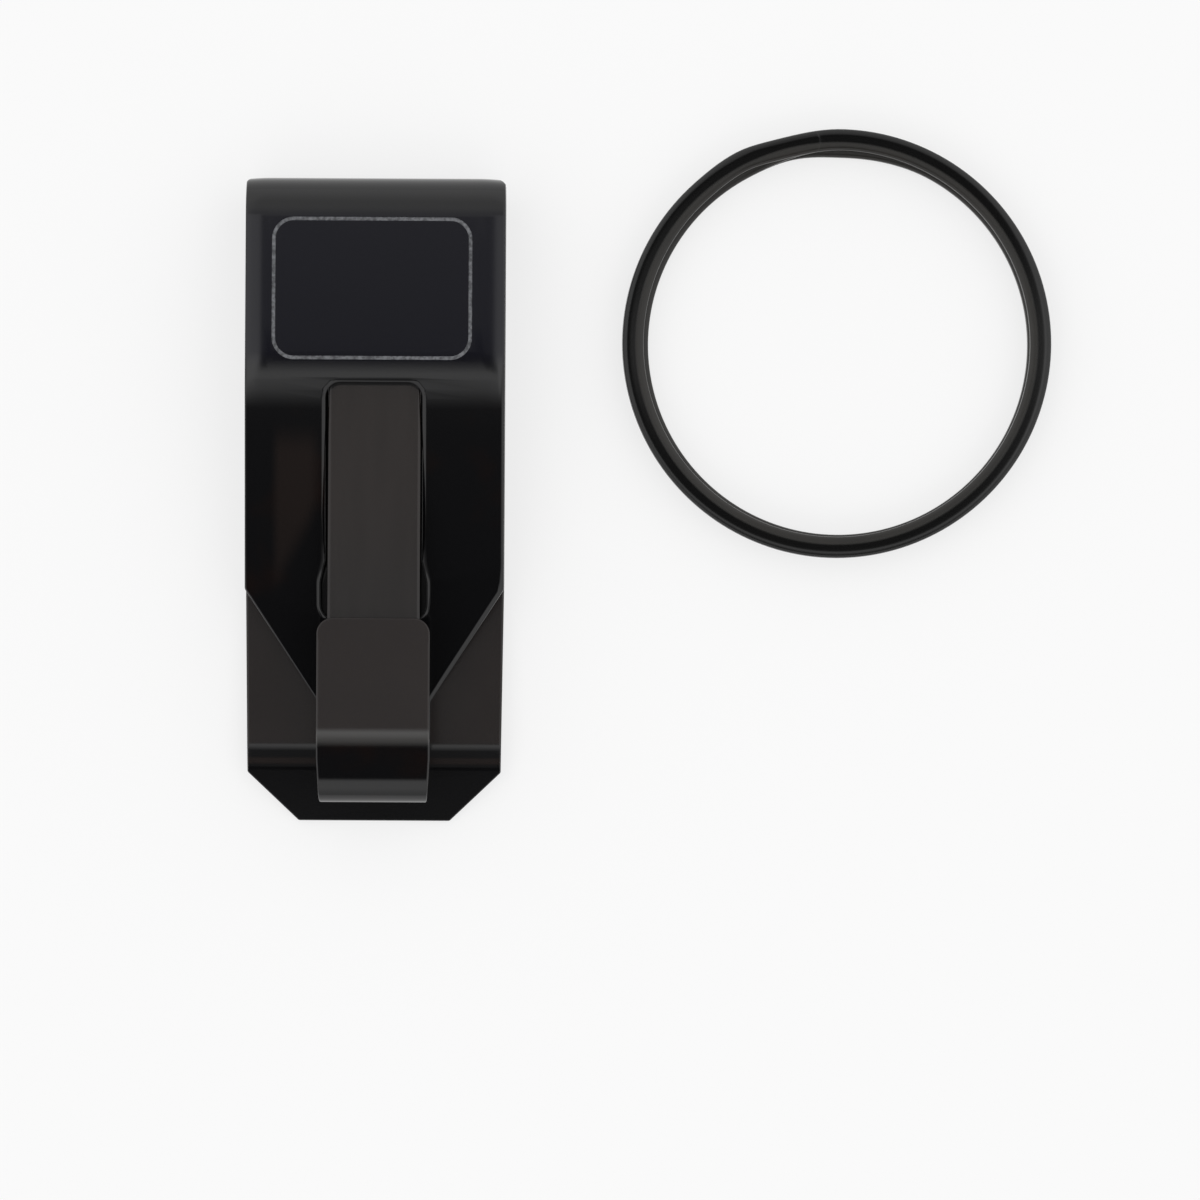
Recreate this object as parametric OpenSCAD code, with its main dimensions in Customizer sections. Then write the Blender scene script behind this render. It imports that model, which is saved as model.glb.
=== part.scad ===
// Slip-on belt key clip with its split ring, lying on a flat surface.
// The clip is one strip of spring steel: it stands behind the belt, turns over
// its top edge, leans back in front of it and ends in an upturned hook.
// A leaf spring inside the front plate closes the hook's mouth.
// The strip is drawn upright, y along its height and z from back to front,
// then laid down so that its top bend and its lip touch z = 0.

/* [Strip] */
// Width of the strip
strip_w = 28.4; // [24:0.2:34]
// Thickness of the strip
strip_t = 0.9; // [0.7:0.05:1.1]
// Height from the lip's edge to the crown of the top bend
clip_h = 70.3; // [64:0.5:80]
// Room for the belt's thickness inside the top bend
belt_gap = 7.2; // [6.4:0.2:9]
// Rounding of the strip's edges over the crown
crown_corner_r = 1; // [0.4:0.1:2]

/* [Back plate] */
// Height of the lip that turns away from the belt
lip_h = 8.4; // [6:0.2:10]
// Angle of the lip to the back plate
lip_angle = 14; // [6:1:22]
// Bend radius at the lip's crease
crease_r = 4; // [2:0.5:8]
// Width of each cut corner of the lip
lip_cut_w = 5.7; // [3:0.1:8]
// Height of each cut corner of the lip
lip_cut_h = 5.3; // [3:0.1:5.6]

/* [Front plate] */
// Height of the upright name panel, from the crown to the knee
panel_h = 21.4; // [18:0.2:24]
// Bend radius at the knee under the name panel
knee_r = 20; // [10:1:26]
// Height of the line where the front plate nips the belt
nip_y = 10.2; // [9.4:0.1:11.5]
// Bend radius at the nip
nip_r = 3; // [2:0.5:4]
// Height where the sides start to draw in to the hook
taper_top_y = 25.2; // [24:0.2:28]
// Height where the sides reach the hook's width
taper_end_y = 12.9; // [12:0.1:14]
// Width of the frame line's rectangle on the name panel
frame_w = 21.9; // [18:0.1:23]
// Height of the frame line's rectangle
frame_h = 15.6; // [12:0.1:16]
// Corner radius of the frame line
frame_corner_r = 2.4; // [1:0.1:5]
// Width of the frame line
frame_line_w = 0.4; // [0.3:0.05:0.8]
// Depth of the frame line
frame_line_d = 0.15; // [0.1:0.05:0.3]
// Distance from the crown to the frame line's upper edge
frame_drop = 4.2; // [3.4:0.1:5]

/* [Window] */
// Width of the window that the leaf spring lies in
window_w = 10.7; // [9:0.1:12]
// Distance from the knee down to the window's upper edge
window_drop = 0.6; // [0.2:0.1:1.5]
// Corner radius at the window's upper end
window_corner_r = 1.6; // [0.8:0.1:3]
// Height of the window's lower edge
window_low_y = 21.8; // [21:0.1:23]
// Height of the window's wide lower end
window_foot_h = 6.4; // [5:0.1:8]
// Corner radius of the wide lower end
window_foot_r = 1.9; // [1:0.1:2.4]

/* [Hook] */
// Width of the hook
hook_w = 12.5; // [11:0.1:16]
// Height of the hook's tip
hook_tip_y = 21.9; // [20:0.1:23]
// Corner radius of the hook's tip
hook_tip_r = 1.7; // [0.8:0.1:3]
// Height of the bend at the foot of the hook's upright front
hook_knee_y = 9.3; // [8.6:0.1:10]
// Bend radius there
hook_knee_r = 4; // [2:0.5:6]
// Angle of the hook's inner leg, forward from the nip
hook_in_angle = 11; // [8:1:14]
// Angle of the hook's outer leg, back from the upright front
hook_out_angle = 16; // [14:1:20]
// Bend radius at the hook's foot, on the middle of the steel
hook_foot_r = 2.2; // [1.9:0.1:2.3]
// How much narrower the hook is at its foot, each side
hook_foot_draw = 0.3; // [0:0.1:0.8]

/* [Leaf spring] */
// Thickness of the leaf spring
leaf_t = 0.5; // [0.3:0.05:0.7]
// Side clearance of the leaf in the window
leaf_side_gap = 0.4; // [0.2:0.05:0.8]
// Length of the leaf's root behind the name panel
leaf_root_h = 3.6; // [2:0.1:6]
// How far the leaf reaches down behind the hook's tip
leaf_lap = 3.4; // [2:0.1:5]
// Corner radius of the leaf
leaf_corner_r = 1.2; // [0.4:0.1:3]

/* [Split ring] */
// Outside diameter of the split ring
ring_od = 47.2; // [30:0.1:55]
// Width of the ring's wire, along the radius
wire_w = 2.35; // [1.6:0.05:3]
// Thickness of the ring's wire, along the ring's axis
wire_h = 1.45; // [1:0.05:2]
// Gap between the ring's two turns
turn_gap = 0.45; // [0.42:0.01:0.8]
// Angle of the ramp from the lower turn to the upper one
ramp_angle = 30; // [24:1:50]
// Where the upper turn ends, anticlockwise from +X
ring_end_angle = 118; // [0:1:359]
// How far the lower turn lies inside the upper one
turn_offset = 0.36; // [0:0.02:0.6]
// How much that offset varies round the ring
offset_swing = 0.2; // [0:0.02:0.3]
// How far the lower turn's end springs inwards
start_stray = 0.25; // [0:0.01:0.4]
// How far the upper turn's end springs outwards
end_stray = 0.16; // [0:0.02:0.3]

/* [Layout] */
// Space between the clip's side and the ring
set_gap = 12.8; // [4:0.2:30]
// Height of the ring's centre above the lip's edge
ring_centre_y = 52.4; // [30:0.1:70]

/* [Clearances] */
// Gap at the nip between the front plate and the back plate
nip_gap = 0.3; // [0.2:0.05:0.5]
// Gap between the leaf's root and the name panel
leaf_back_gap = 0.05; // [0.03:0.01:0.2]
// Gap between the leaf and the hook's tip
mouth_gap = 0.25; // [0.1:0.05:0.5]

/* [Hidden] */

overrun = 1;
bend_step = 6;
corner_step = 9;
black_steel = [0.07, 0.07, 0.075];
grey_black_steel = [0.13, 0.125, 0.12];

clip_depth = belt_gap + 2 * strip_t;
mid_z = clip_depth / 2;
crown_mid_y = clip_h - strip_t / 2;
back_mid_z = strip_t / 2;
front_mid_z = clip_depth - strip_t / 2;
top_bend_r = front_mid_z - mid_z;
knee_y = clip_h - panel_h;
nip_mid_z = strip_t + nip_gap + strip_t / 2;
lip_end = [0, back_mid_z - lip_h * tan(lip_angle)];

// The panel's rear face falls away at the knee before the window begins
lean_angle = atan2(front_mid_z - nip_mid_z, knee_y - nip_y);
knee_run = knee_r * tan(lean_angle / 2) + window_drop;
knee_rear_r = knee_r - strip_t / 2;
knee_drop = knee_rear_r - sqrt(pow(knee_rear_r, 2) - pow(knee_run, 2));
leaf_front_z = clip_depth - strip_t - knee_drop - leaf_back_gap;
leaf_w = window_w - 2 * leaf_side_gap;
leaf_top_y = knee_y - window_drop + leaf_root_h;
leaf_low_y = hook_tip_y - leaf_lap;
hook_mid_z = leaf_front_z + mouth_gap + strip_t / 2;

// Points on an arc about c, from angle a0 to a1, in steps of about the given angle
function arc(c, r, a0, a1, step) =
    let (n = max(1, ceil(abs(a1 - a0) / step)))
    [for (i = [0:n]) let (a = a0 + (a1 - a0) * i / n) c + r * [cos(a), sin(a)]];

function unit(v) = v / norm(v);
function left_of(v) = [-v[1], v[0]];
function cross2(a, b) = a[0] * b[1] - a[1] * b[0];
function dir(a) = [cos(a), sin(a)];

// Where the line through p along u meets the line through q along v
function meet(p, u, q, v) = p + u * cross2(q - p, v) / cross2(u, v);

// The arc that rounds the corner p1 between p0 and p2 to radius r
function corner(p0, p1, p2, r, step) =
    let (u = unit(p0 - p1), v = unit(p2 - p1),
         half = acos(u * v) / 2,
         reach = r / tan(half),
         c = p1 + unit(u + v) * r / sin(half),
         s = p1 + u * reach - c,
         e = p1 + v * reach - c,
         a0 = atan2(s[1], s[0]),
         turn = atan2(cross2(s, e), s * e))
    arc(c, r, a0, a0 + turn, step);

// The path on from the first point, each inner corner rounded to its radius
function onward(points, radii, step) =
    let (last = len(points) - 1)
    [for (i = [1:last - 1])
         each corner(points[i - 1], points[i], points[i + 1], radii[i - 1], step),
     points[last]];

// A closed outline, each corner rounded to its radius, or left sharp at 0
function rounded(points, radii, step) =
    let (n = len(points))
    [for (i = [0:n - 1])
        each radii[i] == 0 ? [points[i]]
            : corner(points[(i + n - 1) % n], points[i], points[(i + 1) % n], radii[i], step)];

// The direction square to the path at point i, scaled so that offsets keep their thickness
function miter(path, i) =
    let (n = len(path) - 1,
         a = path[i] - path[i - 1],
         b = i == n ? a : path[i + 1] - path[i],
         m = unit(left_of(unit(a) + unit(b))))
    m / (m * left_of(unit(a)));

// The outline of sheet metal of thickness t whose middle follows the path from the crown
function sheet(path, t) =
    let (n = len(path) - 1,
         squares = [[1, 0] * sign(path[0][1] - path[1][1]), for (i = [1:n]) miter(path, i)])
    [for (i = [0:n]) path[i] + squares[i] * t / 2,
     for (i = [n:-1:0]) path[i] - squares[i] * t / 2];

// A rectangle about the y axis with four rounded corners
function box_outline(w, y0, y1, r, step) =
    rounded([[-w / 2, y0], [w / 2, y0], [w / 2, y1], [-w / 2, y1]], [r, r, r, r], step);

// Middle of the steel, as [y, z]: crown, down the back, crease, lip
bend_centre = [crown_mid_y - top_bend_r, mid_z];
back_path = [
    each arc(bend_centre, top_bend_r, 0, -90, bend_step),
    each onward([[bend_centre[0], back_mid_z], [lip_h, back_mid_z], lip_end],
                [crease_r], bend_step)];

// Crown, name panel, knee and leaning plate to the nip, then the hook
nip = [nip_y, nip_mid_z];
hook_knee = [hook_knee_y, hook_mid_z];
inner_leg = -dir(-hook_in_angle);
outer_leg = -dir(hook_out_angle);
hook_foot = meet(nip, inner_leg, hook_knee, outer_leg);
front_path = [
    each arc(bend_centre, top_bend_r, 0, 90, bend_step),
    each onward([[bend_centre[0], front_mid_z], [knee_y, front_mid_z],
                 nip, hook_foot, hook_knee, [hook_tip_y, hook_mid_z]],
                [knee_r, nip_r, hook_foot_r, hook_knee_r], bend_step)];

// The lowest point of the hook's path parts the leaning plate from the hook
foot_low = min([for (p = front_path) p[0]]);
foot_index = search(foot_low, [for (p = front_path) p[0]])[0];
foot_z = front_path[foot_index][1];

// The lip's rear edge, and the tilt that lays it and the top bend on one plane
lip_dir = unit(lip_end - [lip_h, back_mid_z]);
lip_edge = lip_end + left_of(lip_dir) * strip_t / 2;
rest_span = bend_centre - lip_edge;
rest_tilt = asin((top_bend_r + strip_t / 2) / norm(rest_span)) - atan2(rest_span[1], rest_span[0]);
rest_lift = -(lip_edge[0] * sin(rest_tilt) + lip_edge[1] * cos(rest_tilt));

// The set's box is centred on the origin
ring_top_y = ring_centre_y + ring_od / 2;
set_w = strip_w + set_gap + ring_od;
clip_x = (strip_w - set_w) / 2;
ring_x = (set_w - ring_od) / 2;
set_mid_y = ring_top_y / 2;

// Lays the upright clip down beside the ring
module lay_down() {
    translate([clip_x, -set_mid_y, rest_lift]) rotate([rest_tilt, 0, 0]) children();
}

// Extrudes an outline in [y, z] across the strip
module across(w, outline) {
    rotate([90, 0, 90]) linear_extrude(w, center = true) polygon(outline);
}

// Extrudes an outline in [x, y] through the whole clip
module through(outline) {
    translate([0, 0, -clip_depth]) linear_extrude(clip_depth * 3) polygon(outline);
}

// Outline of the back plate seen from the front
function back_outline() = rounded(
    [[-strip_w / 2 + lip_cut_w, -overrun], [strip_w / 2 - lip_cut_w, -overrun],
     [strip_w / 2 - lip_cut_w, 0], [strip_w / 2, lip_cut_h],
     [strip_w / 2, clip_h], [-strip_w / 2, clip_h],
     [-strip_w / 2, lip_cut_h], [-strip_w / 2 + lip_cut_w, 0]],
    [0, 0, 0, 0, crown_corner_r, crown_corner_r, 0, 0], corner_step);

// Outline of the name panel and the leaning plate, down to the hook's foot
function plate_outline() = rounded(
    [[-hook_w / 2 + hook_foot_draw, -overrun], [hook_w / 2 - hook_foot_draw, -overrun],
     [hook_w / 2 - hook_foot_draw, foot_low], [hook_w / 2, foot_low + 2 * hook_foot_r],
     [hook_w / 2, taper_end_y], [strip_w / 2, taper_top_y],
     [strip_w / 2, clip_h], [-strip_w / 2, clip_h],
     [-strip_w / 2, taper_top_y], [-hook_w / 2, taper_end_y],
     [-hook_w / 2, foot_low + 2 * hook_foot_r], [-hook_w / 2 + hook_foot_draw, foot_low]],
    [0, 0, 0, 0, 0, 0, crown_corner_r, crown_corner_r, 0, 0, 0, 0], corner_step);

// Outline of the hook in front of it, from its foot to its tip
function hook_outline() = rounded(
    [[-hook_w / 2 + hook_foot_draw, -overrun], [hook_w / 2 - hook_foot_draw, -overrun],
     [hook_w / 2 - hook_foot_draw, foot_low], [hook_w / 2, foot_low + 2 * hook_foot_r],
     [hook_w / 2, hook_tip_y], [-hook_w / 2, hook_tip_y],
     [-hook_w / 2, foot_low + 2 * hook_foot_r], [-hook_w / 2 + hook_foot_draw, foot_low]],
    [0, 0, 0, 0, hook_tip_r, hook_tip_r, 0, 0], corner_step);

// The window: a slot with a wider, rounded lower end that lets the leaf pass
module window() {
    foot_top_y = window_low_y + window_foot_h;
    translate([0, 0, -clip_depth]) linear_extrude(clip_depth * 3) union() {
        polygon(box_outline(window_w, window_low_y + window_foot_r, knee_y - window_drop,
                            window_corner_r, corner_step));
        polygon(box_outline(hook_w, window_low_y, foot_top_y, window_foot_r, corner_step));
    }
}

// The plain frame line pressed into the name panel
module frame_line() {
    y1 = clip_h - frame_drop;
    y0 = y1 - frame_h;
    translate([0, 0, clip_depth - frame_line_d]) linear_extrude(overrun) difference() {
        polygon(box_outline(frame_w, y0, y1, frame_corner_r, corner_step));
        polygon(box_outline(frame_w - 2 * frame_line_w, y0 + frame_line_w, y1 - frame_line_w,
                            frame_corner_r - frame_line_w, corner_step));
    }
}

module back_plate() {
    color(black_steel) lay_down() intersection() {
        across(strip_w, sheet(back_path, strip_t));
        through(back_outline());
    }
}

// The front plate's two stretches share the face at the hook's foot
module front_plate() {
    outline = sheet(front_path, strip_t);
    n = len(front_path);
    plate = [for (i = [0:foot_index]) outline[i],
             for (i = [foot_index:-1:0]) outline[2 * n - 1 - i]];
    hook = [for (i = [foot_index:n - 1]) outline[i],
            for (i = [n - 1:-1:foot_index]) outline[2 * n - 1 - i]];
    color(black_steel) lay_down() difference() {
        union() {
            intersection() {
                across(strip_w, plate);
                through(plate_outline());
            }
            intersection() {
                across(hook_w, hook);
                through(hook_outline());
            }
        }
        intersection() {
            window();
            across(window_w + hook_w, [[window_low_y, -overrun], [clip_h, -overrun],
                                       [clip_h, clip_depth + overrun],
                                       [window_low_y, leaf_front_z]]);
        }
        frame_line();
    }
}

module leaf_spring() {
    color(grey_black_steel) lay_down()
        translate([0, 0, leaf_front_z - leaf_t]) linear_extrude(leaf_t)
            polygon(box_outline(leaf_w, leaf_low_y, leaf_top_y, leaf_corner_r, corner_step));
}

// The wire runs clockwise: lower turn, ramp, upper turn
turn_angle = 360 - ramp_angle;
wire_angle = 2 * turn_angle + ramp_angle;
rings_per_turn = 72;
wire_rings = round(wire_angle * rings_per_turn / 360);
wire_sides = 12;
turn_rise = wire_h + turn_gap;
ring_mid_r = ring_od / 2 - wire_w / 2;
offset_angle = -43;
start_reach = 28;
end_reach = 14;

function smooth(t) = let (u = max(0, min(1, t))) u * u * (3 - 2 * u);
function layer(p) = smooth((p - turn_angle) / ramp_angle);
function stray(p, a) =
    (layer(p) - 1) * (turn_offset - offset_swing * cos(a - offset_angle))
    - start_stray * smooth(1 - p / start_reach)
    + end_stray * smooth(1 - (wire_angle - p) / end_reach);

// Section of the wire: a flattened round, as [radial, axial] shares of its half sizes
section_shares = [for (i = [0:wire_sides - 1])
    let (a = (i + 0.5) * 360 / wire_sides, k = pow(pow(abs(cos(a)), 3) + pow(abs(sin(a)), 3), -1 / 3))
    k * [cos(a), sin(a)]];

function wire_ring(i) =
    let (p = wire_angle * i / wire_rings,
         a = ring_end_angle - ramp_angle - p,
         r = ring_mid_r + stray(p, a),
         z = wire_h / 2 + turn_rise * layer(p))
    [for (s = section_shares)
        let (q = r + s[0] * wire_w / 2)
        [q * cos(a), q * sin(a), z + s[1] * wire_h / 2]];

wire_points = [for (i = [0:wire_rings]) wire_ring(i)];

// Least distance from the lower turn to the wire that lies one turn further on
least_gap = min([for (i = [0:wire_rings - rings_per_turn])
    for (j = [max(0, i + rings_per_turn - 1):min(wire_rings, i + rings_per_turn + 1)])
        for (p = wire_points[i]) for (q = wire_points[j]) norm(p - q)]);
echo(least_gap_in_split_ring = least_gap);

module split_ring() {
    flat = [for (ring = wire_points) each ring];
    last = wire_rings * wire_sides;
    sides = [for (i = [0:wire_rings - 1]) for (k = [0:wire_sides - 1])
        let (m = (k + 1) % wire_sides, a = i * wire_sides, b = a + wire_sides)
        each [[a + k, a + m, b + m], [a + k, b + m, b + k]]];
    near = [for (k = [wire_sides - 1:-1:0]) k];
    far = [for (k = [0:wire_sides - 1]) last + k];
    color(black_steel) translate([ring_x, ring_centre_y - set_mid_y, 0])
        polyhedron(flat, concat(sides, [near, far]));
}

back_plate();
front_plate();
leaf_spring();
split_ring();
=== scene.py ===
import math

import bmesh
import bpy
from mathutils import Matrix, Vector
from mathutils.geometry import delaunay_2d_cdt


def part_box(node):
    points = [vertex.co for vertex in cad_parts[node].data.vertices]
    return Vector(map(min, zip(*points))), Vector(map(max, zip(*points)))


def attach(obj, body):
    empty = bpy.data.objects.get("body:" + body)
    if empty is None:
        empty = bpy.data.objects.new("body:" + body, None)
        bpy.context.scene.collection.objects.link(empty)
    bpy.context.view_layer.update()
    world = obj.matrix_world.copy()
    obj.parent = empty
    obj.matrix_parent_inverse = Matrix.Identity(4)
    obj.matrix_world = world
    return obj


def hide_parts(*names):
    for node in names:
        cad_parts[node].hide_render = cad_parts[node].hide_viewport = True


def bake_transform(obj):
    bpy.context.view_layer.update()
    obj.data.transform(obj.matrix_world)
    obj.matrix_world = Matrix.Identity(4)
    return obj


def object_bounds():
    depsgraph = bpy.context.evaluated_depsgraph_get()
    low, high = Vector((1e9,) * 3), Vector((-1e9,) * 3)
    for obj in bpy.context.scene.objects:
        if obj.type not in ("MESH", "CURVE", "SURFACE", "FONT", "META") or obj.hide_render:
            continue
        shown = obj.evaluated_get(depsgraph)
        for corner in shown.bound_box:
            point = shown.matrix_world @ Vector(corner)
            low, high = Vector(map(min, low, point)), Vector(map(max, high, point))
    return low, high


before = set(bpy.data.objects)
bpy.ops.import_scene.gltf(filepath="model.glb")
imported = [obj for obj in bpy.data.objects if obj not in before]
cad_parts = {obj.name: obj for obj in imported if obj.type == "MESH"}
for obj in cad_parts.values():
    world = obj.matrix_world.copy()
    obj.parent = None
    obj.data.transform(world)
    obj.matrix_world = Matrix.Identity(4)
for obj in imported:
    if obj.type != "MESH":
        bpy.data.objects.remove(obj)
cad_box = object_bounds()

# Camera
# It looks straight down at the set through a long lens, as the photograph does. It is turned
# a little, because the clip lies a little turned in the photograph.
PHOTO_PX = 1200
PX_PER_MM = 9.0987
SHARP_Z = 2.6
FROM_CLIP_MIDDLE = 24.74
FROM_LIP_EDGE = 24.23
CAMERA_TURN = 0.3
LENS = 300
SENSOR = 36
FAR_M = 20
MM = 0.001

back_low, back_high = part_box("back_plate")
clip_x = (back_low.x + back_high.x) / 2 / MM
lip_y = back_low.y / MM
camera_h = SHARP_Z + PHOTO_PX / PX_PER_MM * LENS / SENSOR
camera = bpy.data.objects.new("camera", bpy.data.cameras.new("camera"))
camera.data.lens = LENS
camera.data.sensor_width = SENSOR
camera.data.clip_end = FAR_M
camera.location = Vector((clip_x + FROM_CLIP_MIDDLE, lip_y + FROM_LIP_EDGE, camera_h)) * MM
camera.rotation_euler.z = math.radians(CAMERA_TURN)
bpy.context.collection.objects.link(camera)
bpy.context.scene.camera = camera
bpy.context.scene.view_settings.view_transform = "Standard"


# Back plate
# The clip is one strip of spring steel, blanked flat and then bent; this is the part behind
# the belt. Its lip is bent away in two small steps, so that the belt slides in, and the
# lip's corners are cut off. Blackened, and rubbed brown where the belt lies against it.
STEEL = 0.9
STRIP_W = 28.4
CLIP_H = 70.3
BELT_GAP = 7.2
LIP_H = 8.4
LIP_ANGLE = 14
CREASE_Y = 8.05
LIP_STEP_ANGLE = 8.5
LIP_STEP_Y = 5.7
LIP_CUT_W = 5.9
LIP_CUT_H = 5.3
CREASE_R = 6
STEP_R = 2.5
LIP_DRAW = 0.28
LIP_DRAW_Y = 26
CUT_CORNER_R = 0.35
SEAM_TURN = 66
EDGE_R = 0.15
# How far in from an edge its softening starts, and how far the face has dropped at the edge
RIGHT_ROLL = (0.9, 0.2)
LEFT_ROLL = (0.5, 0.04)
# How finely the steel is divided, and the lines of its mesh beside an edge
BEND_STEP = math.radians(2)
CORNER_STEP = math.radians(9)
STRAIGHT_STEP = 3.0
LEAST_STEP = 0.02
EDGE_SEGMENTS = 3
EDGE_LINES = (0.25, 0.5, 0.8)
LIP_ROW = 0.5
ROW_OVERRUN = 1
ROUNDED_FROM = math.radians(60)
SMOOTH_UP_TO = math.radians(50)
HALVINGS = 40
TINY = 1e-6
NEAR = 1e-4
MERGE = 0.002

side = STRIP_W / 2
crown_y = CLIP_H - STEEL / 2
clip_depth = BELT_GAP + 2 * STEEL
back_z = STEEL / 2
front_z = clip_depth - STEEL / 2
bend_z = clip_depth / 2
bend_r = front_z - bend_z
bend_y = crown_y - bend_r
seam = bend_r * math.radians(SEAM_TURN)


class Profile:
    """The line that the steel's middle follows in the side view, y up the clip and z forward."""

    def __init__(self, corners, radii, outside):
        self.outside = outside
        self.stations = [0.0]
        self.runs = []
        self.place = Vector(corners[0])
        self.heading = self.angle(Vector(corners[1]) - self.place)
        spent = 0.0
        for i, radius in enumerate(radii):
            before = Vector(corners[i + 1]) - Vector(corners[i])
            after = Vector(corners[i + 2]) - Vector(corners[i + 1])
            turn = math.remainder(self.angle(after) - self.angle(before), math.tau)
            reach = radius * math.tan(abs(turn) / 2)
            self.add(before.length - spent - reach, 0.0)
            self.add(radius * abs(turn), turn)
            spent = reach
        self.add((Vector(corners[-1]) - Vector(corners[-2])).length - spent, 0.0)
        self.length = self.stations[-1]

    @staticmethod
    def angle(v):
        return math.atan2(v.y, v.x)

    def add(self, length, turn):
        """Adds a run of a length, which turns by an angle."""
        if length < TINY:
            return
        self.runs.append((self.place.copy(), self.heading, length, turn))
        self.place, self.heading = self.along(self.runs[-1], length)
        self.stations.append(self.stations[-1] + length)

    @staticmethod
    def along(run, distance):
        """The place and the heading at a distance along a run."""
        place, heading, length, turn = run
        if turn == 0:
            step = Vector((math.cos(heading), math.sin(heading))) * distance
            return place + step, heading
        radius = length / turn
        new = heading + turn * distance / length
        step = Vector((math.sin(new) - math.sin(heading), math.cos(heading) - math.cos(new)))
        return place + step * radius, new

    def at(self, s):
        """The place at a distance along the line, and the direction of the steel's outer face."""
        i = 0
        while i < len(self.runs) - 1 and s > self.stations[i + 1]:
            i += 1
        place, heading = self.along(self.runs[i], s - self.stations[i])
        face = heading + self.outside * math.pi / 2
        return place, Vector((math.cos(face), math.sin(face)))

    def where_y(self, y, first, last):
        """The distance along the line at which it passes a height, between two distances."""
        rising = self.at(last)[0].x > self.at(first)[0].x
        for _ in range(HALVINGS):
            half = (first + last) / 2
            if (self.at(half)[0].x < y) == rising:
                first = half
            else:
                last = half
        return half

    def divisions(self, low, high, *extra):
        """Distances at which the steel is divided: close on the bends, far apart between them."""
        fixed = (low, high, *extra)
        found = set(fixed)
        for start, (_, _, length, turn) in zip(self.stations, self.runs):
            step = BEND_STEP if turn else STRAIGHT_STEP
            count = max(1, math.ceil((abs(turn) if turn else length) / step))
            found |= {start + length * i / count for i in range(count)}
        kept = []
        for s in sorted(found):
            close = bool(kept) and s - kept[-1] < LEAST_STEP
            if s in fixed and close and kept[-1] not in fixed:
                kept[-1] = s
            elif low <= s <= high and (s in fixed or not close):
                kept.append(s)
        return kept


def slope(degrees):
    return math.tan(math.radians(degrees))


lip_end_z = back_z - LIP_H * slope(LIP_ANGLE)
lip_step_z = back_z - (CREASE_Y - LIP_STEP_Y) * slope(LIP_STEP_ANGLE)
back_profile = Profile(
    [
        (crown_y, bend_z),
        (crown_y, back_z),
        (CREASE_Y, back_z),
        (LIP_STEP_Y, lip_step_z),
        (0, lip_end_z),
    ],
    [bend_r, CREASE_R, STEP_R],
    outside=1,
)

# The clip rests on its lip's rear edge and the back of its top bend, which tilts it.
lip_line = Vector((0, lip_end_z)) - Vector((LIP_H, back_z))
lip_edge = Vector((0, lip_end_z)) + Vector((-lip_line.y, lip_line.x)).normalized() * STEEL / 2
rest_span = Vector((bend_y, bend_z)) - lip_edge
rest_tilt = math.asin((bend_r + STEEL / 2) / rest_span.length) - math.atan2(
    rest_span.y, rest_span.x
)
rest_lift = -(lip_edge.x * math.sin(rest_tilt) + lip_edge.y * math.cos(rest_tilt))
lip_low_y = lip_edge.x * math.cos(rest_tilt) - lip_edge.y * math.sin(rest_tilt)
lay_down = (
    Matrix.Translation(Vector((clip_x, lip_y - lip_low_y, rest_lift)) * MM)
    @ Matrix.Rotation(rest_tilt, 4, "X")
    @ Matrix.Scale(MM, 4)
)


# The steel's skin is hard, black and glossy, and browner and softer where it is rubbed. A fade
# runs from its first value to its second, in millimetres.
DEEP_BLACK = (0.0040, 0.0040, 0.0045, 1)
RUBBED_BROWN = (0.0086, 0.0044, 0.0034, 1)
STEEL_ROUGH = 0.09
WORN_ROUGH = 0.24
BACK_WORN_ROUGH = 0.2
GRAIN_SCALE = 4200
GRAIN_ROUGH = 0.02
GRAIN_BUMP = 0.03
GRAIN_H = 0.02
PATCH_SCALE = 70
PATCH_RISE = (0.3, 0.75)
RUB_LEAST = 0.85
CREASE_FADE = (0, 0.5)
BEND_FADE = (0, -6)
BEHIND_WINDOW_SIDE = (8, 7)
BEHIND_WINDOW_LOW = (19, 20.5)
STEP_RUB = (0.2, 0.6, 0.9, 1.25)
STEP_RUB_SHARE = 0.9


class Signal:
    """A node's output, which Python's operators carry on through Math nodes."""

    def __init__(self, finish, socket):
        self.finish = finish
        self.socket = socket

    def math(self, operation, *values):
        return self.finish.node("ShaderNodeMath", {"operation": operation}, dict(enumerate(values)))

    def __add__(self, other):
        return self.math("ADD", self, other)

    def __radd__(self, other):
        return self.math("ADD", other, self)

    def __sub__(self, other):
        return self.math("SUBTRACT", self, other)

    def __rsub__(self, other):
        return self.math("SUBTRACT", other, self)

    def __mul__(self, other):
        return self.math("MULTIPLY", self, other)

    def __rmul__(self, other):
        return self.math("MULTIPLY", other, self)

    def __abs__(self):
        return self.math("ABSOLUTE", self)

    def rise(self, low, high):
        """0 up to low, 1 from high and smooth between them."""
        if low > high:
            return 1 - self.rise(high, low)
        return self.finish.node(
            "ShaderNodeMapRange",
            {"interpolation_type": "SMOOTHSTEP"},
            {"Value": self, "From Min": low, "From Max": high},
        )

    def band(self, low, full, ebb, high):
        """1 from full to ebb, 0 up to low and from high, and smooth between them."""
        return self.rise(low, full) * self.rise(high, ebb)

    def lifted(self, least):
        """From a least share up to 1, where it ran from 0 to 1."""
        return least + self * (1 - least)


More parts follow.
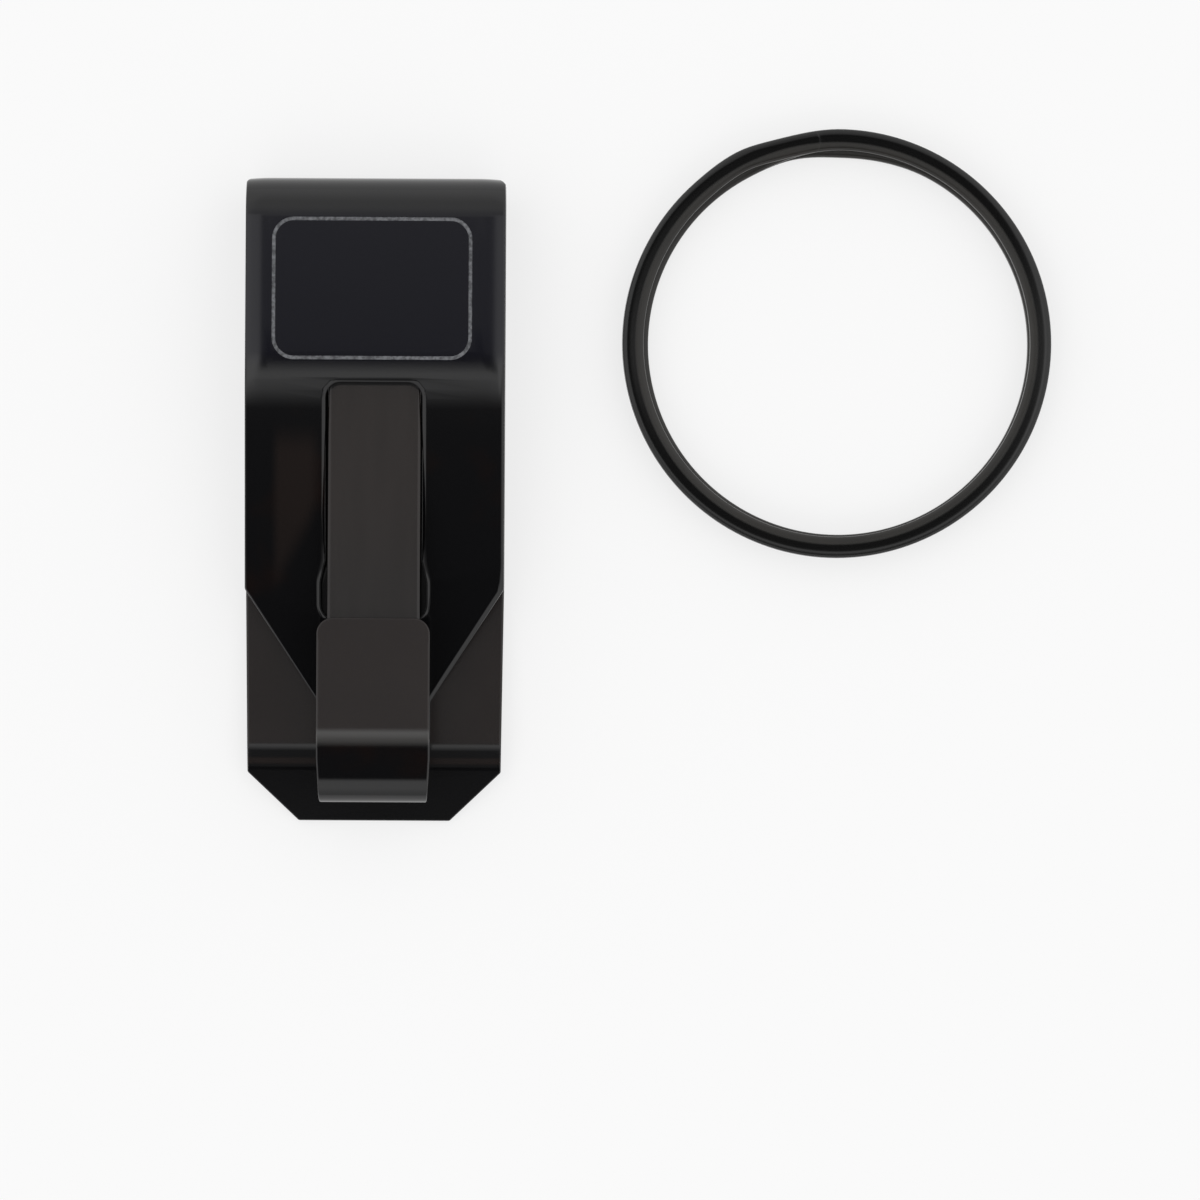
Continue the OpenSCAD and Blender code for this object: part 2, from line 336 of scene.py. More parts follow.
class Finish:
    """A tree of shader nodes, of a material or of the world."""

    def __init__(self, owner):
        owner.use_nodes = True
        self.owner = owner
        self.tree = owner.node_tree
        self.tree.nodes.clear()

    def node(self, kind, settings, values, output=0):
        """A new node's output, from its type, its settings and the values of its sockets."""
        made = self.tree.nodes.new(kind)
        for name, value in settings.items():
            setattr(made, name, value)
        for name, value in values.items():
            if isinstance(value, Signal):
                self.tree.links.new(value.socket, made.inputs[name])
            else:
                made.inputs[name].default_value = value
        return Signal(self, made.outputs[output]) if made.outputs else None

    def parts(self, vector):
        """The x, y and z of a vector."""
        split = self.node("ShaderNodeSeparateXYZ", {}, {"Vector": vector})
        return [Signal(self, output) for output in split.socket.node.outputs]

    def end(self, kind, shader):
        """Ends the tree with an output node, and gives back what it belongs to."""
        self.node(kind, {}, {"Surface": shader})
        return self.owner

    def noise(self, scale, detail, stretch=(1, 1, 1)):
        """Noise that stays with the object."""
        place = self.node("ShaderNodeTexCoord", {}, {}, "Object")
        place = self.node("ShaderNodeMapping", {}, {"Vector": place, "Scale": stretch})
        values = {"Vector": place, "Scale": scale, "Detail": detail}
        return self.node("ShaderNodeTexNoise", {}, values)

    def patches(self):
        """Faint patches, as the whole strip has them."""
        return self.noise(PATCH_SCALE, detail=3).rise(*PATCH_RISE)

    def mix(self, share, first, second):
        """A colour between two, by a share."""
        return self.node("ShaderNodeMix", {"data_type": "RGBA"}, {0: share, 6: first, 7: second}, 2)

    def clip_place(self):
        """The place on the clip: x across, y up and z forward, in millimetres."""
        place = self.node(
            "ShaderNodeMapping",
            {"vector_type": "TEXTURE"},
            {
                "Vector": self.node("ShaderNodeTexCoord", {}, {}, "Object"),
                "Location": lay_down.to_translation(),
                "Rotation": (rest_tilt, 0, 0),
                "Scale": (MM, MM, MM),
            },
        )
        return self.parts(place)

    def black_steel(self, colour, worn, rough=STEEL_ROUGH, worn_rough=WORN_ROUGH):
        """Ends as blackened steel: a hard glossy skin that is softer where it is worn."""
        grain = self.noise(GRAIN_SCALE, detail=2)
        steel = self.node(
            "ShaderNodeBsdfPrincipled",
            {},
            {
                "Base Color": colour,
                "Roughness": rough + worn * (worn_rough - rough) + (grain - 0.5) * GRAIN_ROUGH,
                "IOR": 1.5,
                "Normal": self.node(
                    "ShaderNodeBump",
                    {},
                    {"Strength": GRAIN_BUMP, "Distance": GRAIN_H * MM, "Height": grain},
                ),
            },
        )
        return self.end("ShaderNodeOutputMaterial", steel)


# The belt rubs the lip's step, and the steel from the crease up to the bend. Behind the window
# the steel is kept deep black as painted shade, where the front plate shades it.
back_finish = Finish(bpy.data.materials.new("black_back_steel"))
x, y, _ = back_finish.clip_place()
patches = back_finish.patches()
# Painted shade: the back plate is kept deep black behind the window.
shade_behind_window = abs(x).rise(*BEHIND_WINDOW_SIDE) * y.rise(*BEHIND_WINDOW_LOW)
belt_rub = (y - CREASE_Y).rise(*CREASE_FADE) * (y - bend_y).rise(*BEND_FADE) * (1 - shade_behind_window)
step_rub = (y - LIP_STEP_Y).band(*STEP_RUB)
worn = belt_rub * patches.lifted(RUB_LEAST) + step_rub * STEP_RUB_SHARE
back_colour = back_finish.mix(worn, DEEP_BLACK, RUBBED_BROWN)
back_steel = back_finish.black_steel(back_colour, worn, worn_rough=BACK_WORN_ROUGH)


def rounded(corners):
    """A closed outline from corners (x, s, radius), each rounded to its radius."""
    outline = []
    for i, (x, s, radius) in enumerate(corners):
        here = Vector((x, s))
        if radius == 0:
            outline.append(here)
            continue
        before = (Vector(corners[i - 1][:2]) - here).normalized()
        after = (Vector(corners[(i + 1) % len(corners)][:2]) - here).normalized()
        half = before.angle(after) / 2
        start = here + before * radius / math.tan(half)
        centre = here + (before + after).normalized() * radius / math.sin(half)
        turn = math.remainder(
            Profile.angle(here + after * radius / math.tan(half) - centre)
            - Profile.angle(start - centre),
            math.tau,
        )
        count = max(1, math.ceil(abs(turn) / CORNER_STEP))
        for k in range(count + 1):
            outline.append(centre + Matrix.Rotation(turn * k / count, 2) @ (start - centre))
    return outline


def mirrored(half):
    """Corners down the strip's right side, closed by their mirror up its left side."""
    return half + [(-x, s, *rest) for x, s, *rest in reversed(half)]


def rows(divisions):
    """Lines across the blank and a little past its sides."""
    end = side + ROW_OVERRUN
    return [[Vector((-end, s)), Vector((end, s))] for s in divisions]


def beside(chain, insets):
    """Lines down both sides of the blank, at distances inside a chain of points (x, s)."""
    return [
        [Vector((sign * (x - inset), s)) for x, s in chain] for inset in insets for sign in (-1, 1)
    ]


def inside(point, outline):
    """Whether a point lies in a closed outline."""
    found = False
    for a, b in zip(outline, outline[1:] + outline[:1]):
        if (a.y > point.y) != (b.y > point.y):
            if point.x < a.x + (b.x - a.x) * (point.y - a.y) / (b.y - a.y):
                found = not found
    return found


def inner_point(corners):
    """A point just inside a face, beside the middle of its longest edge."""
    area = sum(a.cross(b) for a, b in zip(corners, corners[1:] + corners[:1]))
    a, b = max(zip(corners, corners[1:] + corners[:1]), key=lambda edge: (edge[1] - edge[0]).length)
    along = (b - a).normalized()
    return (a + b) / 2 + Vector((-along.y, along.x)) * math.copysign(MERGE / 2, area)


def flat_faces(outline, lines, holes, pressed, height):
    """The blank's front, divided by lines, with the faces between the pressed outlines marked."""
    points, edges = [], []
    for loop in (outline, *holes, *pressed):
        first = len(points)
        points += loop
        edges += [(first + i, first + (i + 1) % len(loop)) for i in range(len(loop))]
    for line in lines:
        first = len(points)
        points += line
        edges += [(first + i, first + i + 1) for i in range(len(line) - 1)]
    far = 2 * max(abs(c) for p in points for c in p)
    box = [Vector(c) for c in ((-far, -far), (far, -far), (far, far), (-far, far))]
    face = list(range(len(points), len(points) + len(box)))
    # Output type 4 keeps every face whole.
    whole_faces = 4
    verts, _, faces, *_ = delaunay_2d_cdt(points + box, edges, [face], whole_faces, NEAR)

    blank = bmesh.new()
    made = [blank.verts.new((v.x, v.y, height)) for v in verts]
    for corners in faces:
        point = inner_point([verts[i] for i in corners])
        if inside(point, outline) and not any(inside(point, hole) for hole in holes):
            f = blank.faces.new([made[i] for i in corners])
            if pressed and inside(point, pressed[0]) and not inside(point, pressed[1]):
                f.material_index = 1
    for v in [v for v in blank.verts if not v.link_faces]:
        blank.verts.remove(v)
    bmesh.ops.remove_doubles(blank, verts=blank.verts, dist=MERGE)
    bmesh.ops.recalc_face_normals(blank, faces=blank.faces)
    if blank.faces[:][0].normal.z < 0:
        bmesh.ops.reverse_faces(blank, faces=blank.faces)
    return blank


def thicken(blank, steel):
    """Gives the blank its rear face and the walls of its rims."""
    rims = [e for e in blank.edges if len(e.link_faces) == 1]
    copied = bmesh.ops.duplicate(blank, geom=[*blank.verts, *blank.edges, *blank.faces])
    below = copied["vert_map"]
    bottom = [f for f in copied["geom"] if isinstance(f, bmesh.types.BMFace)]
    bmesh.ops.reverse_faces(blank, faces=bottom)
    for f in bottom:
        f.material_index = 0
    for v in {v for f in bottom for v in f.verts}:
        v.co.z = -steel / 2
    for e in rims:
        a, b = e.link_loops[0].vert, e.link_loops[0].link_loop_next.vert
        blank.faces.new([b, a, below[a], below[b]])
    blank.normal_update()


def round_edges(blank, edge_r, seams):
    """Rounds the edges of the blank's front and rear, but not along a seam."""

    def at_seam(v):
        return any(abs(v.co.y - s) < NEAR for s in seams)

    sharp = [
        e
        for e in blank.edges
        if len(e.link_faces) == 2
        and e.calc_face_angle() > ROUNDED_FROM
        and abs(e.verts[0].co.z - e.verts[1].co.z) < TINY
        and not (at_seam(e.verts[0]) and at_seam(e.verts[1]))
    ]
    bmesh.ops.bevel(
        blank,
        geom=sharp,
        offset=edge_r,
        segments=EDGE_SEGMENTS,
        profile=0.5,
        affect="EDGES",
        clamp_overlap=False,
    )


def press(blank, depth):
    """Sinks the marked faces of the blank's front."""
    line = [f for f in blank.faces if f.material_index == 1]
    sunk = bmesh.ops.extrude_face_region(blank, geom=line)
    for v in sunk["geom"]:
        if isinstance(v, bmesh.types.BMVert):
            v.co.z -= depth
    bmesh.ops.delete(blank, geom=line, context="FACES")


def cut_blank(outline, lines, seams, holes=(), pressed=(), steel=STEEL, edge_r=EDGE_R):
    """A flat blank, x across and y along the strip and z through it, with rounded edges."""
    blank = flat_faces(outline, lines, holes, pressed, steel / 2)
    thicken(blank, steel)
    round_edges(blank, edge_r, seams)
    return blank


def softened(distance, width, drop):
    """How much lower a face lies at a distance from a softened edge."""
    return drop * max(0.0, 1 - distance / width) ** 2


def finished(name, shape, finishes):
    """A closed shape as an object in its finishes, smooth but at its sharp edges."""
    bmesh.ops.recalc_face_normals(shape, faces=shape.faces)
    mesh = bpy.data.meshes.new(name)
    shape.to_mesh(mesh)
    shape.free()
    for finish in finishes:
        mesh.materials.append(finish)
    mesh.polygons.foreach_set("use_smooth", [True] * len(mesh.polygons))
    mesh.set_sharp_from_angle(angle=SMOOTH_UP_TO)
    piece = bpy.data.objects.new(name, mesh)
    bpy.context.collection.objects.link(piece)
    return piece


def bend_blank(name, blank, profile, finishes, lowered):
    """Bends a blank along a profile and lays the clip down.

    Lowered gives how much its front is lowered at a place across and along the strip.
    """
    for v in blank.verts:
        place, face = profile.at(v.co.y)
        proud = v.co.z
        if proud > 0:
            proud -= lowered(v.co.x, v.co.y)
        place = place + face * proud
        v.co = lay_down @ Vector((v.co.x, place.x, place.y))
    bmesh.ops.remove_doubles(blank, verts=blank.verts, dist=NEAR * MM)
    piece = finished(name, blank, finishes)
    weighted = piece.modifiers.new("weighted_normals", "WEIGHTED_NORMAL")
    weighted.keep_sharp = True
    weighted.weight = 100
    return piece


lip_cut_s = back_profile.where_y(LIP_CUT_H, seam, back_profile.length)
lip_row = lip_cut_s - LIP_ROW
draw_s = back_profile.where_y(LIP_DRAW_Y, seam, back_profile.length)


def back_edge(x, s):
    """The back plate's long edges, softened more on the right than on the left."""
    drawn = LIP_DRAW * max(0.0, (s - draw_s) / (lip_cut_s - draw_s))
    return softened(side - drawn - abs(x), *(RIGHT_ROLL if x > 0 else LEFT_ROLL))


back_side = [
    (side, seam, 0),
    (side, draw_s, 0),
    (side - LIP_DRAW, lip_cut_s, CUT_CORNER_R),
    (side - LIP_CUT_W, back_profile.length, CUT_CORNER_R),
]
back_blank = cut_blank(
    rounded(mirrored(back_side)),
    rows(back_profile.divisions(seam, back_profile.length, lip_row)[1:-1])
    + beside([(side, seam), (side, draw_s), (side - LIP_DRAW, lip_row)], EDGE_LINES),
    seams=[seam],
)
back_panel = bend_blank("back_panel", back_blank, back_profile, [back_steel], back_edge)
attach(back_panel, "back")
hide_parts("back_plate")


# Front plate and hook
# The name panel, the knee, and the plate that leans back to nip the belt, with a window for
# the leaf spring. Below the nip the narrowed strip turns up into the hook. The panel's frame
# line is pressed in. Use has rubbed the hook brown. Its brow is pale, as bare steel and a
# painted highlight along its bend.
KNEE_Y = 47.9
KNEE_R = 34
NIP_Y = 10.2
NIP_R = 3
NIP_GAP = 0.3
HOOK_W = 12.35
HOOK_TIP_Y = 21.9
HOOK_TIP_R = 1.7
HOOK_IN_ANGLE = 11
HOOK_FOOT_R = 2.2
HOOK_FOOT_DRAW = 0.3
HOOK_FACE_Z = 9.056
LEG_LOW_Y = 4.4
LEG_LOW_ANGLE = 20.5
LEG_ANGLE = 16
BROW_LOW_Y = 8.5
BROW_ANGLE = 6.5
BROW_Y = 9.5
BROW_R = 8
BROW_LOW_R = 5
TAPER_TOP_Y = 25.2
TAPER_END_Y = 12.9
TAPER_CORNER_R = 0.6
WINDOW_W = 10.5
WINDOW_SHIFT = -0.08
WINDOW_TOP_Y = 47.65
WINDOW_LOW_Y = 21.8
WINDOW_FOOT_W = 11.6
WINDOW_FOOT_H = 6.6
WINDOW_FLARE = 2.4
WINDOW_FLARE_R = 2
WINDOW_CORNER_R = 1.6
WINDOW_FOOT_R = 1.9
FRAME_W = 21.9
FRAME_H = 15.6
FRAME_DROP = 4.55
FRAME_SHIFT = -0.35
FRAME_CORNER_R = 2.4
FRAME_LINE_W = 0.4
FRAME_LINE_D = 0.12
# Edges, each with how far in its softening starts and how far the face has dropped at it
ROLL = (2.5, 0.12)
RIGHT_PLATE_EDGE = (0.6, 0.13)
RIGHT_TAPER_EDGE = (1.1, 0.25)
LEFT_TAPER_EDGE = (0.4, 0.05)
HOOK_EDGE = (0.5, 0.05)
WINDOW_EDGE = (0.6, 0.2)
# The roll fades out round the knee, the hook's edge starts below the taper, and the rim of the
# window's foot is raised by a share of the drop elsewhere
ROLL_FADE_Y = 50.9
ROLL_FADE = 6
HOOK_EDGE_START = 0.3
FOOT_RIM_RAISE = 0.8
FOOT_RIM_START = 0.6
# Lines of the mesh beside the edges
ROLL_LINES = (1.2, 1.6, 2.0, 2.6)
RIM_LINES = (0.2, 0.4, 0.6)
TAPER_ROW = 1
CORNER_ROW = 0.4
# The share of the strip after which the hook's lowest place is looked for, and the steps there
FOOT_FROM = 0.25
FOOT_TRIES = 3000


def towards(degrees):
    return Vector((math.cos(math.radians(degrees)), math.sin(math.radians(degrees))))


def crossing(p, u, q, v):
    """Where the line through p along u meets the line through q along v."""
    return p + u * ((q - p).cross(v) / u.cross(v))


hook_z = HOOK_FACE_Z - STEEL / 2
nip = Vector((NIP_Y, STEEL + NIP_GAP + STEEL / 2))
brow = Vector((BROW_Y, hook_z))
brow_low = brow - Vector((1, slope(BROW_ANGLE))) * (BROW_Y - BROW_LOW_Y)
leg_low = brow_low - Vector((1, slope(LEG_ANGLE))) * (BROW_LOW_Y - LEG_LOW_Y)
hook_foot = crossing(nip, towards(-HOOK_IN_ANGLE), leg_low, towards(LEG_LOW_ANGLE))
front_profile = Profile(
    [
        (crown_y, bend_z),
        (crown_y, front_z),
        (KNEE_Y, front_z),
        nip,
        hook_foot,
        leg_low,
        brow_low,
        brow,
        (HOOK_TIP_Y, hook_z),
    ],
    [bend_r, KNEE_R, NIP_R, HOOK_FOOT_R, BROW_R, BROW_LOW_R, BROW_R],
    outside=-1,
)

hook_half = HOOK_W / 2
foot_half = hook_half - HOOK_FOOT_DRAW
tries = [FOOT_FROM + (1 - FOOT_FROM) * i / FOOT_TRIES for i in range(FOOT_TRIES + 1)]
foot_s = min((front_profile.length * t for t in tries), key=lambda s: front_profile.at(s)[0].x)
drawn_y = front_profile.at(foot_s)[0].x + 2 * HOOK_FOOT_R


def plate_s(y):
    """The distance along the strip at a height of the front plate."""
    return front_profile.where_y(y, seam, foot_s)


taper_top_s = plate_s(TAPER_TOP_Y)
taper_end_s = plate_s(TAPER_END_Y)
drawn_s = front_profile.where_y(drawn_y, foot_s, front_profile.length)
hook_chain = [
    (hook_half, taper_end_s),
    (hook_half, plate_s(drawn_y)),
    (foot_half, foot_s),
    (hook_half, drawn_s),
]
front_side = [
    (side, seam, 0),
    (side, taper_top_s, TAPER_CORNER_R),
    (*hook_chain[0], TAPER_CORNER_R),
    *[(x, s, 0) for x, s in hook_chain[1:]],
    (hook_half, front_profile.length, HOOK_TIP_R),
]
roll_row = taper_top_s - TAPER_ROW
tip_row = front_profile.length - HOOK_TIP_R - CORNER_ROW
window_top = plate_s(WINDOW_TOP_Y)
window_step = plate_s(WINDOW_LOW_Y + WINDOW_FOOT_H)
window_low = plate_s(WINDOW_LOW_Y)
rim_row = window_top - RIM_LINES[-1]


def window_loop(out):
    """The window's outline, at a distance outside it."""
    half, foot = WINDOW_W / 2, WINDOW_FOOT_W / 2
    corner_rise = out * math.tan(math.atan((foot - half) / WINDOW_FLARE) / 2)
    loop = rounded(
        mirrored(
            [
                (half + out, window_top - out, WINDOW_CORNER_R + out),
                (half + out, window_step - corner_rise, WINDOW_FLARE_R - out),
                (foot + out, window_step + WINDOW_FLARE - corner_rise, WINDOW_FLARE_R + out),
                (foot + out, window_low + out, WINDOW_FOOT_R + out),
            ]
        )
    )
    return [p + Vector((WINDOW_SHIFT, 0)) for p in loop]


def frame_loop(inset):
    """The frame line's outline, at a distance inside it."""
    top = plate_s(CLIP_H - FRAME_DROP) + inset
    low = plate_s(CLIP_H - FRAME_DROP - FRAME_H) - inset
    half, radius = FRAME_W / 2 - inset, FRAME_CORNER_R - inset
    loop = rounded(mirrored([(half, top, radius), (half, low, radius)]))
    return [p + Vector((FRAME_SHIFT, 0)) for p in loop]


def from_line(point, a, b):
    """The distance of a point from the line between two others."""
    along = b - a
    share = max(0.0, min(1.0, (point - a).dot(along) / along.length_squared))
    return (point - a - along * share).length


def smooth(t):
    """0 up to 0, 1 from 1 and smooth between them."""
    u = max(0.0, min(1.0, t))
    return u * u * (3 - 2 * u)


window = window_loop(0)
window_sides = list(zip(window, window[1:] + window[:1]))
taper_side = (Vector((side, taper_top_s)), Vector((hook_half, taper_end_s)))
roll_fade_s = plate_s(ROLL_FADE_Y)
near_window = WINDOW_FOOT_W / 2 + abs(WINDOW_SHIFT) + WINDOW_EDGE[0]


def front_edge(x, s):
    """The front plate's edges: rolled on the panel, and softened below it and at the window.

    The rim of the window's foot is raised instead.
    """
    below_knee = smooth((s - roll_fade_s) / ROLL_FADE)
    lower = softened(side - abs(x), *ROLL) * (1 - below_knee)
    if x > 0:
        lower += softened(side - x, *RIGHT_PLATE_EDGE) * below_knee
    taper_edge = RIGHT_TAPER_EDGE if x > 0 else LEFT_TAPER_EDGE
    lower += softened(from_line(Vector((abs(x), s)), *taper_side), *taper_edge)
    if s > taper_end_s + HOOK_EDGE_START:
        drawn = HOOK_FOOT_DRAW * max(0, 1 - abs(s - foot_s) / (drawn_s - foot_s))
        from_side = hook_half - abs(x) - drawn
        lower += softened(min(from_side, front_profile.length - s), *HOOK_EDGE)
    if abs(x) < near_window and window_top - WINDOW_EDGE[0] < s < window_low + WINDOW_EDGE[0]:
        point = Vector((x, s))
        rim = softened(min(from_line(point, a, b) for a, b in window_sides), *WINDOW_EDGE)
        lower += rim * (1 - (1 + FOOT_RIM_RAISE) * smooth((s - window_step) / FOOT_RIM_START + 1))
    return lower


# The panel is black with a blue tint, which is a painted reflection. Brown smudges lie below
# the knee, and a brown patch with a slanting lower end lies left of the window.
PANEL_BLUE_REFLECTION = (0.0040, 0.0040, 0.0080, 1)
BARE_STEEL_AND_HIGHLIGHT = (0.0520, 0.0505, 0.0490, 1)
SIDE_BROWN = (0.0135, 0.0100, 0.0090, 1)
PANEL_LOW_FADE = (0.5, 3.5)
PANEL_TOP_FADE = (1.5, -0.5)
PANEL_LEAST = 0.9
HOOK_FACE_FADE = (-0.5, -0.1)
HOOK_TIP_FADE = (1, 0.5)
HOOK_BROWN_FADE = (-0.3, 0.4)
BARE_LOW_FADE = (-0.8, 0.1)
BARE_TOP_FADE = (0.5, -0.2)
BARE_WORN_SHARE = 0.2
SMUDGE_SCALE = 150
SMUDGE_RISE = (0.5, 0.8)
SMUDGE_FADE = (0, -8)
SMUDGE_SHARE = 0.8
SIDE_RUB_X = (-11.5, -10.2, -7.4, -5.4)
SIDE_RUB_SLANT = 0.55
SIDE_RUB_LOW = (-23.8, -26.4)
SIDE_RUB_TOP = (43.8, 39.6)
SIDE_RUB_LEAST = 0.8

front_finish = Finish(bpy.data.materials.new("black_front_steel"))
x, y, z = front_finish.clip_place()
patches = front_finish.patches()
on_hook = (z - hook_z).rise(*HOOK_FACE_FADE) * (y - HOOK_TIP_Y).rise(*HOOK_TIP_FADE)
worn = on_hook * (y - BROW_Y).rise(*HOOK_BROWN_FADE) * patches.lifted(RUB_LEAST)
# Painted highlight: the brow's pale band is bare steel and a painted highlight along the bend.
bare_and_highlight = on_hook * (y - BROW_LOW_Y).rise(*BARE_LOW_FADE) * (y - BROW_Y).rise(*BARE_TOP_FADE)
on_panel = (y - KNEE_Y).rise(*PANEL_LOW_FADE) * (y - bend_y).rise(*PANEL_TOP_FADE)
# Painted reflection: the panel's blue tint.
colour = front_finish.mix(on_panel * patches.lifted(PANEL_LEAST), DEEP_BLACK, PANEL_BLUE_REFLECTION)
smudges = front_finish.noise(SMUDGE_SCALE, detail=2).rise(*SMUDGE_RISE)
smudges = smudges * (y - KNEE_Y).rise(*SMUDGE_FADE) * SMUDGE_SHARE
colour = front_finish.mix(smudges, colour, RUBBED_BROWN)
side_rub = x.band(*SIDE_RUB_X) * (x - SIDE_RUB_SLANT * y).rise(*SIDE_RUB_LOW)
side_rub = side_rub * y.rise(*SIDE_RUB_TOP) * patches.lifted(SIDE_RUB_LEAST)
colour = front_finish.mix(side_rub, colour, SIDE_BROWN)
colour = front_finish.mix(bare_and_highlight, front_finish.mix(worn, colour, RUBBED_BROWN), BARE_STEEL_AND_HIGHLIGHT)
front_steel = front_finish.black_steel(colour, worn + bare_and_highlight * BARE_WORN_SHARE)

LINE_DARK = (0.06, 0.062, 0.068, 1)
LINE_PALE = (0.2, 0.205, 0.22, 1)
LINE_ROUGH = 0.45
SPECK_SCALE = 2600
SPECK_RISE = (0.3, 0.7)

line_finish = Finish(bpy.data.materials.new("pressed_line_grey"))
specks = line_finish.noise(SPECK_SCALE, detail=3).rise(*SPECK_RISE)
line_grey = line_finish.mix(specks, LINE_DARK, LINE_PALE)
pressed_grey = line_finish.end(
    "ShaderNodeOutputMaterial",
    line_finish.node(
        "ShaderNodeBsdfPrincipled", {}, {"Base Color": line_grey, "Roughness": LINE_ROUGH}
    ),
)

taper_chain = [(side, seam), (side, taper_top_s), *hook_chain, (hook_half, tip_row)]
front_blank = cut_blank(
    rounded(mirrored(front_side)),
    rows(front_profile.divisions(seam, front_profile.length, rim_row, roll_row, tip_row)[1:-1])
    + beside(taper_chain, EDGE_LINES)
    + beside([(side, seam), (side, roll_row)], ROLL_LINES)
    + [[*loop, loop[0]] for loop in map(window_loop, RIM_LINES)],
    seams=[seam],
    holes=[window],
    pressed=[frame_loop(0), frame_loop(FRAME_LINE_W)],
)
press(front_blank, FRAME_LINE_D)
front_panel = bend_blank(
    "front_panel", front_blank, front_profile, [front_steel, pressed_grey], front_edge
)
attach(front_panel, "front")
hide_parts("front_plate")


# Top bend
# The bend over the belt's upper edge, rolled round a mandrel. Its edges draw in a little at
# the crown. It runs from the back plate's seam to the front plate's.
RIGHT_CROWN_R = 1.1
LEFT_CROWN_R = 0.65
CROWN_NOTCH = 0.45
BEND_RUB = 0.1


class TopBend:
    """The top bend as one profile, from the back plate's seam to the front plate's."""

    def at(self, s):
        if s < 0:
            return back_profile.at(-s)
        return front_profile.at(s)


def crown_side(s, sign):
    """The half width of the strip on one side, at a distance from the crown."""
    radius = RIGHT_CROWN_R if sign > 0 else LEFT_CROWN_R
    rise = radius - (bend_r + STEEL / 2) * (1 - math.cos(min(abs(s) / bend_r, math.pi / 2)))
    if rise <= 0:
        return side
    return side - radius + min(radius, math.sqrt(radius**2 - rise**2 + (CROWN_NOTCH * radius) ** 2))


def bend_edge(x, s):
    """The top bend's rolled edges, which fade out behind the crown."""
    from_side = crown_side(s, 1 if x > 0 else -1) - abs(x)
    return softened(from_side, *ROLL) * smooth((s + seam) / seam)


bend_rows = front_profile.divisions(0, seam)
bend_rows = [-s for s in reversed(bend_rows[1:])] + bend_rows
bend_lines = [
    [Vector((sign * (crown_side(s, sign) - inset), s)) for s in bend_rows]
    for sign in (-1, 1)
    for inset in (*EDGE_LINES, *ROLL_LINES)
]
bend_outline = [Vector((crown_side(s, 1), s)) for s in bend_rows]
bend_outline += [Vector((-crown_side(s, -1), s)) for s in reversed(bend_rows)]

bend_finish = Finish(bpy.data.materials.new("black_bend_steel"))
worn = bend_finish.patches() * BEND_RUB
bend_colour = bend_finish.mix(worn, DEEP_BLACK, RUBBED_BROWN)
bend_steel = bend_finish.black_steel(bend_colour, worn)
curl = cut_blank(bend_outline, rows(bend_rows[1:-1]) + bend_lines, seams=[-seam, seam])
top_bend = bend_blank("top_bend", curl, TopBend(), [bend_steel], bend_edge)
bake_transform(top_bend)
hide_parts("back_plate", "front_plate")


# Leaf spring
# A thin flat spring welded behind the name panel. It comes down through the window and lies
# against the inside of the hook's tip. Use has rubbed it brown to just below the window's rim;
# the black band left under the rim is painted shade.
LEAF_STEEL = 0.5
LEAF_FRONT_Z = 7.906
LEAF_SIDE_GAP = 0.2
LEAF_ROOT_H = 4.0
LEAF_LAP = 3.4
LEAF_CORNER_R = 1.2
LEAF_EDGE_R = 0.1
LEFT_BLADE_EDGE = (0.35, 0.05)
RIGHT_BLADE_EDGE = (0.45, 0.12)
LEAF_EDGE_LINES = (0.2, 0.35)
LEAF_PARTS = 30

leaf_half = WINDOW_W / 2 - LEAF_SIDE_GAP
leaf_top_y = WINDOW_TOP_Y + LEAF_ROOT_H
leaf_low_y = HOOK_TIP_Y - LEAF_LAP
leaf_z = LEAF_FRONT_Z - LEAF_STEEL / 2
leaf_profile = Profile([(leaf_top_y, leaf_z), (leaf_low_y, leaf_z)], [], outside=-1)
leaf_corner_row = LEAF_CORNER_R + CORNER_ROW
leaf_last_row = leaf_profile.length * (LEAF_PARTS - 2) / LEAF_PARTS
leaf_rows = leaf_profile.divisions(0, leaf_profile.length, leaf_corner_row)
leaf_rows += [leaf_profile.length * i / LEAF_PARTS for i in range(2, LEAF_PARTS - 1)]


def leaf_edge(x, s):
    """The blade's softened long edges."""
    return softened(leaf_half - abs(x), *(RIGHT_BLADE_EDGE if x > 0 else LEFT_BLADE_EDGE))


# The brown is streaked along the blade, fainter towards the hook, and stops at a rounded
# outline a little inside the window's. The deep black left between it and the rim is painted
# shade, where the rim shades the blade.
LEAF_BROWN = (0.0120, 0.0080, 0.0066, 1)
LEAF_SHADE_BAND = 0.3
LEAF_RUB_R = 1.4
LEAF_RUB_FADE = (0.15, -0.05)
STREAK_SCALE = 900
STREAK_STRETCH = (1, 0.08, 1)
STREAK_RISE = (0.3, 0.7)
STREAK_LEAST = 0.9
LEAF_BROWN_UP = (24, 36)
LEAF_BROWN_LEAST = 0.65

leaf_finish = Finish(bpy.data.materials.new("black_leaf_steel"))
x, y, _ = leaf_finish.clip_place()
streaks = leaf_finish.noise(STREAK_SCALE, detail=2, stretch=STREAK_STRETCH).rise(*STREAK_RISE)
# Painted shade: the blade is kept deep black in a band just inside the window's rim.
past_side = x.math("MAXIMUM", abs(x) - (leaf_half - LEAF_RUB_R), 0)
past_top = y.math("MAXIMUM", y - (WINDOW_TOP_Y - LEAF_SHADE_BAND - LEAF_RUB_R), 0)
from_corner = x.math("SQRT", past_side * past_side + past_top * past_top)
worn = (from_corner - LEAF_RUB_R).rise(*LEAF_RUB_FADE) * streaks.lifted(STREAK_LEAST)
browned = worn * y.rise(*LEAF_BROWN_UP).lifted(LEAF_BROWN_LEAST)
leaf_steel = leaf_finish.black_steel(leaf_finish.mix(browned, DEEP_BLACK, LEAF_BROWN), worn)

